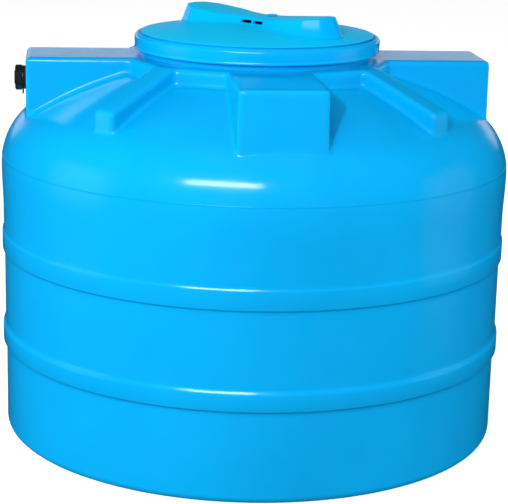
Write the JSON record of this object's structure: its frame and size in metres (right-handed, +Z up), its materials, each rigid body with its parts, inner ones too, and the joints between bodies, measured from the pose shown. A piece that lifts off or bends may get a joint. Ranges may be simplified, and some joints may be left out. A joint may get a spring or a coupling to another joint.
{
  "type": "livestock water tank",
  "caption": "Closed round moulded plastic drinking water tank with a screw lid, flat outlet bosses and an internal float valve.",
  "frame": {"origin": "centre of the flat base, on the tank's axis", "axes": "+Z up along the tank's axis, -X towards the boss that carries the float valve, -Y towards the front boss"},
  "size_m": [0.748, 0.748, 0.625],
  "materials": {
    "tank_blue": "rotomoulded polyethylene, smooth and glossy with a faint orange peel",
    "lid_blue": "moulded polyethylene, slightly greener and duller than the tank",
    "rubber_black": "matte rubber",
    "plastic_black": "glass-filled nylon, satin",
    "plastic_white": "natural acetal, satin",
    "steel_bright": "stainless steel, drawn",
    "brass_rod": "turned brass",
    "float_orange": "moulded polyethylene with a welded seam"
  },
  "bodies": {
    "tank": {"tank_shell": "tank_blue", "valve_body": "plastic_black", "outer_gasket": "rubber_black", "inner_gasket": "rubber_black", "tab_washer": "plastic_black", "inlet_locknut": "plastic_black", "inlet_strainer": "plastic_white", "seat_nozzle": "plastic_white", "end_cap": "plastic_black", "lever_pin": "steel_bright", "pin_clip": "steel_bright"},
    "lid_ring": {"lid_gasket": "rubber_black"},
    "screw_lid": {"lid": "lid_blue", "breather_cap": "lid_blue"},
    "piston": {"piston": "plastic_white", "piston_seal": "rubber_black"},
    "float_arm": {"lever": "plastic_black", "float_rod": "brass_rod", "rod_screw": "brass_rod", "float_nut": "brass_rod", "float_near_half": "float_orange", "float_far_half": "float_orange"}
  },
  "joints": [
    {"name": "lid_rise", "type": "slide", "parent": "tank", "child": "lid_ring", "axis": [0, 0, 1], "range_m": [0, 0.0151]},
    {"name": "lid_turn", "type": "hinge", "parent": "lid_ring", "child": "screw_lid", "pos_m": [0, 0, 0.58], "axis": [0, 0, 1], "range_deg": [0, 540]},
    {"name": "arm_swing", "type": "hinge", "parent": "tank", "child": "float_arm", "pos_m": [-0.284, 0, 0.5055], "axis": [0, -1, 0], "range_deg": [0, 36]},
    {"name": "piston_slide", "type": "slide", "parent": "tank", "child": "piston", "axis": [-1, 0, 0], "range_m": [0, 0.0069]}
  ],
  "couplings": [
    {"joint": "lid_rise", "follows": "lid_turn", "m_per_rad": 0.0015915},
    {"joint": "piston_slide", "follows": "arm_swing", "m_per_rad": 0.010819}
  ]
}
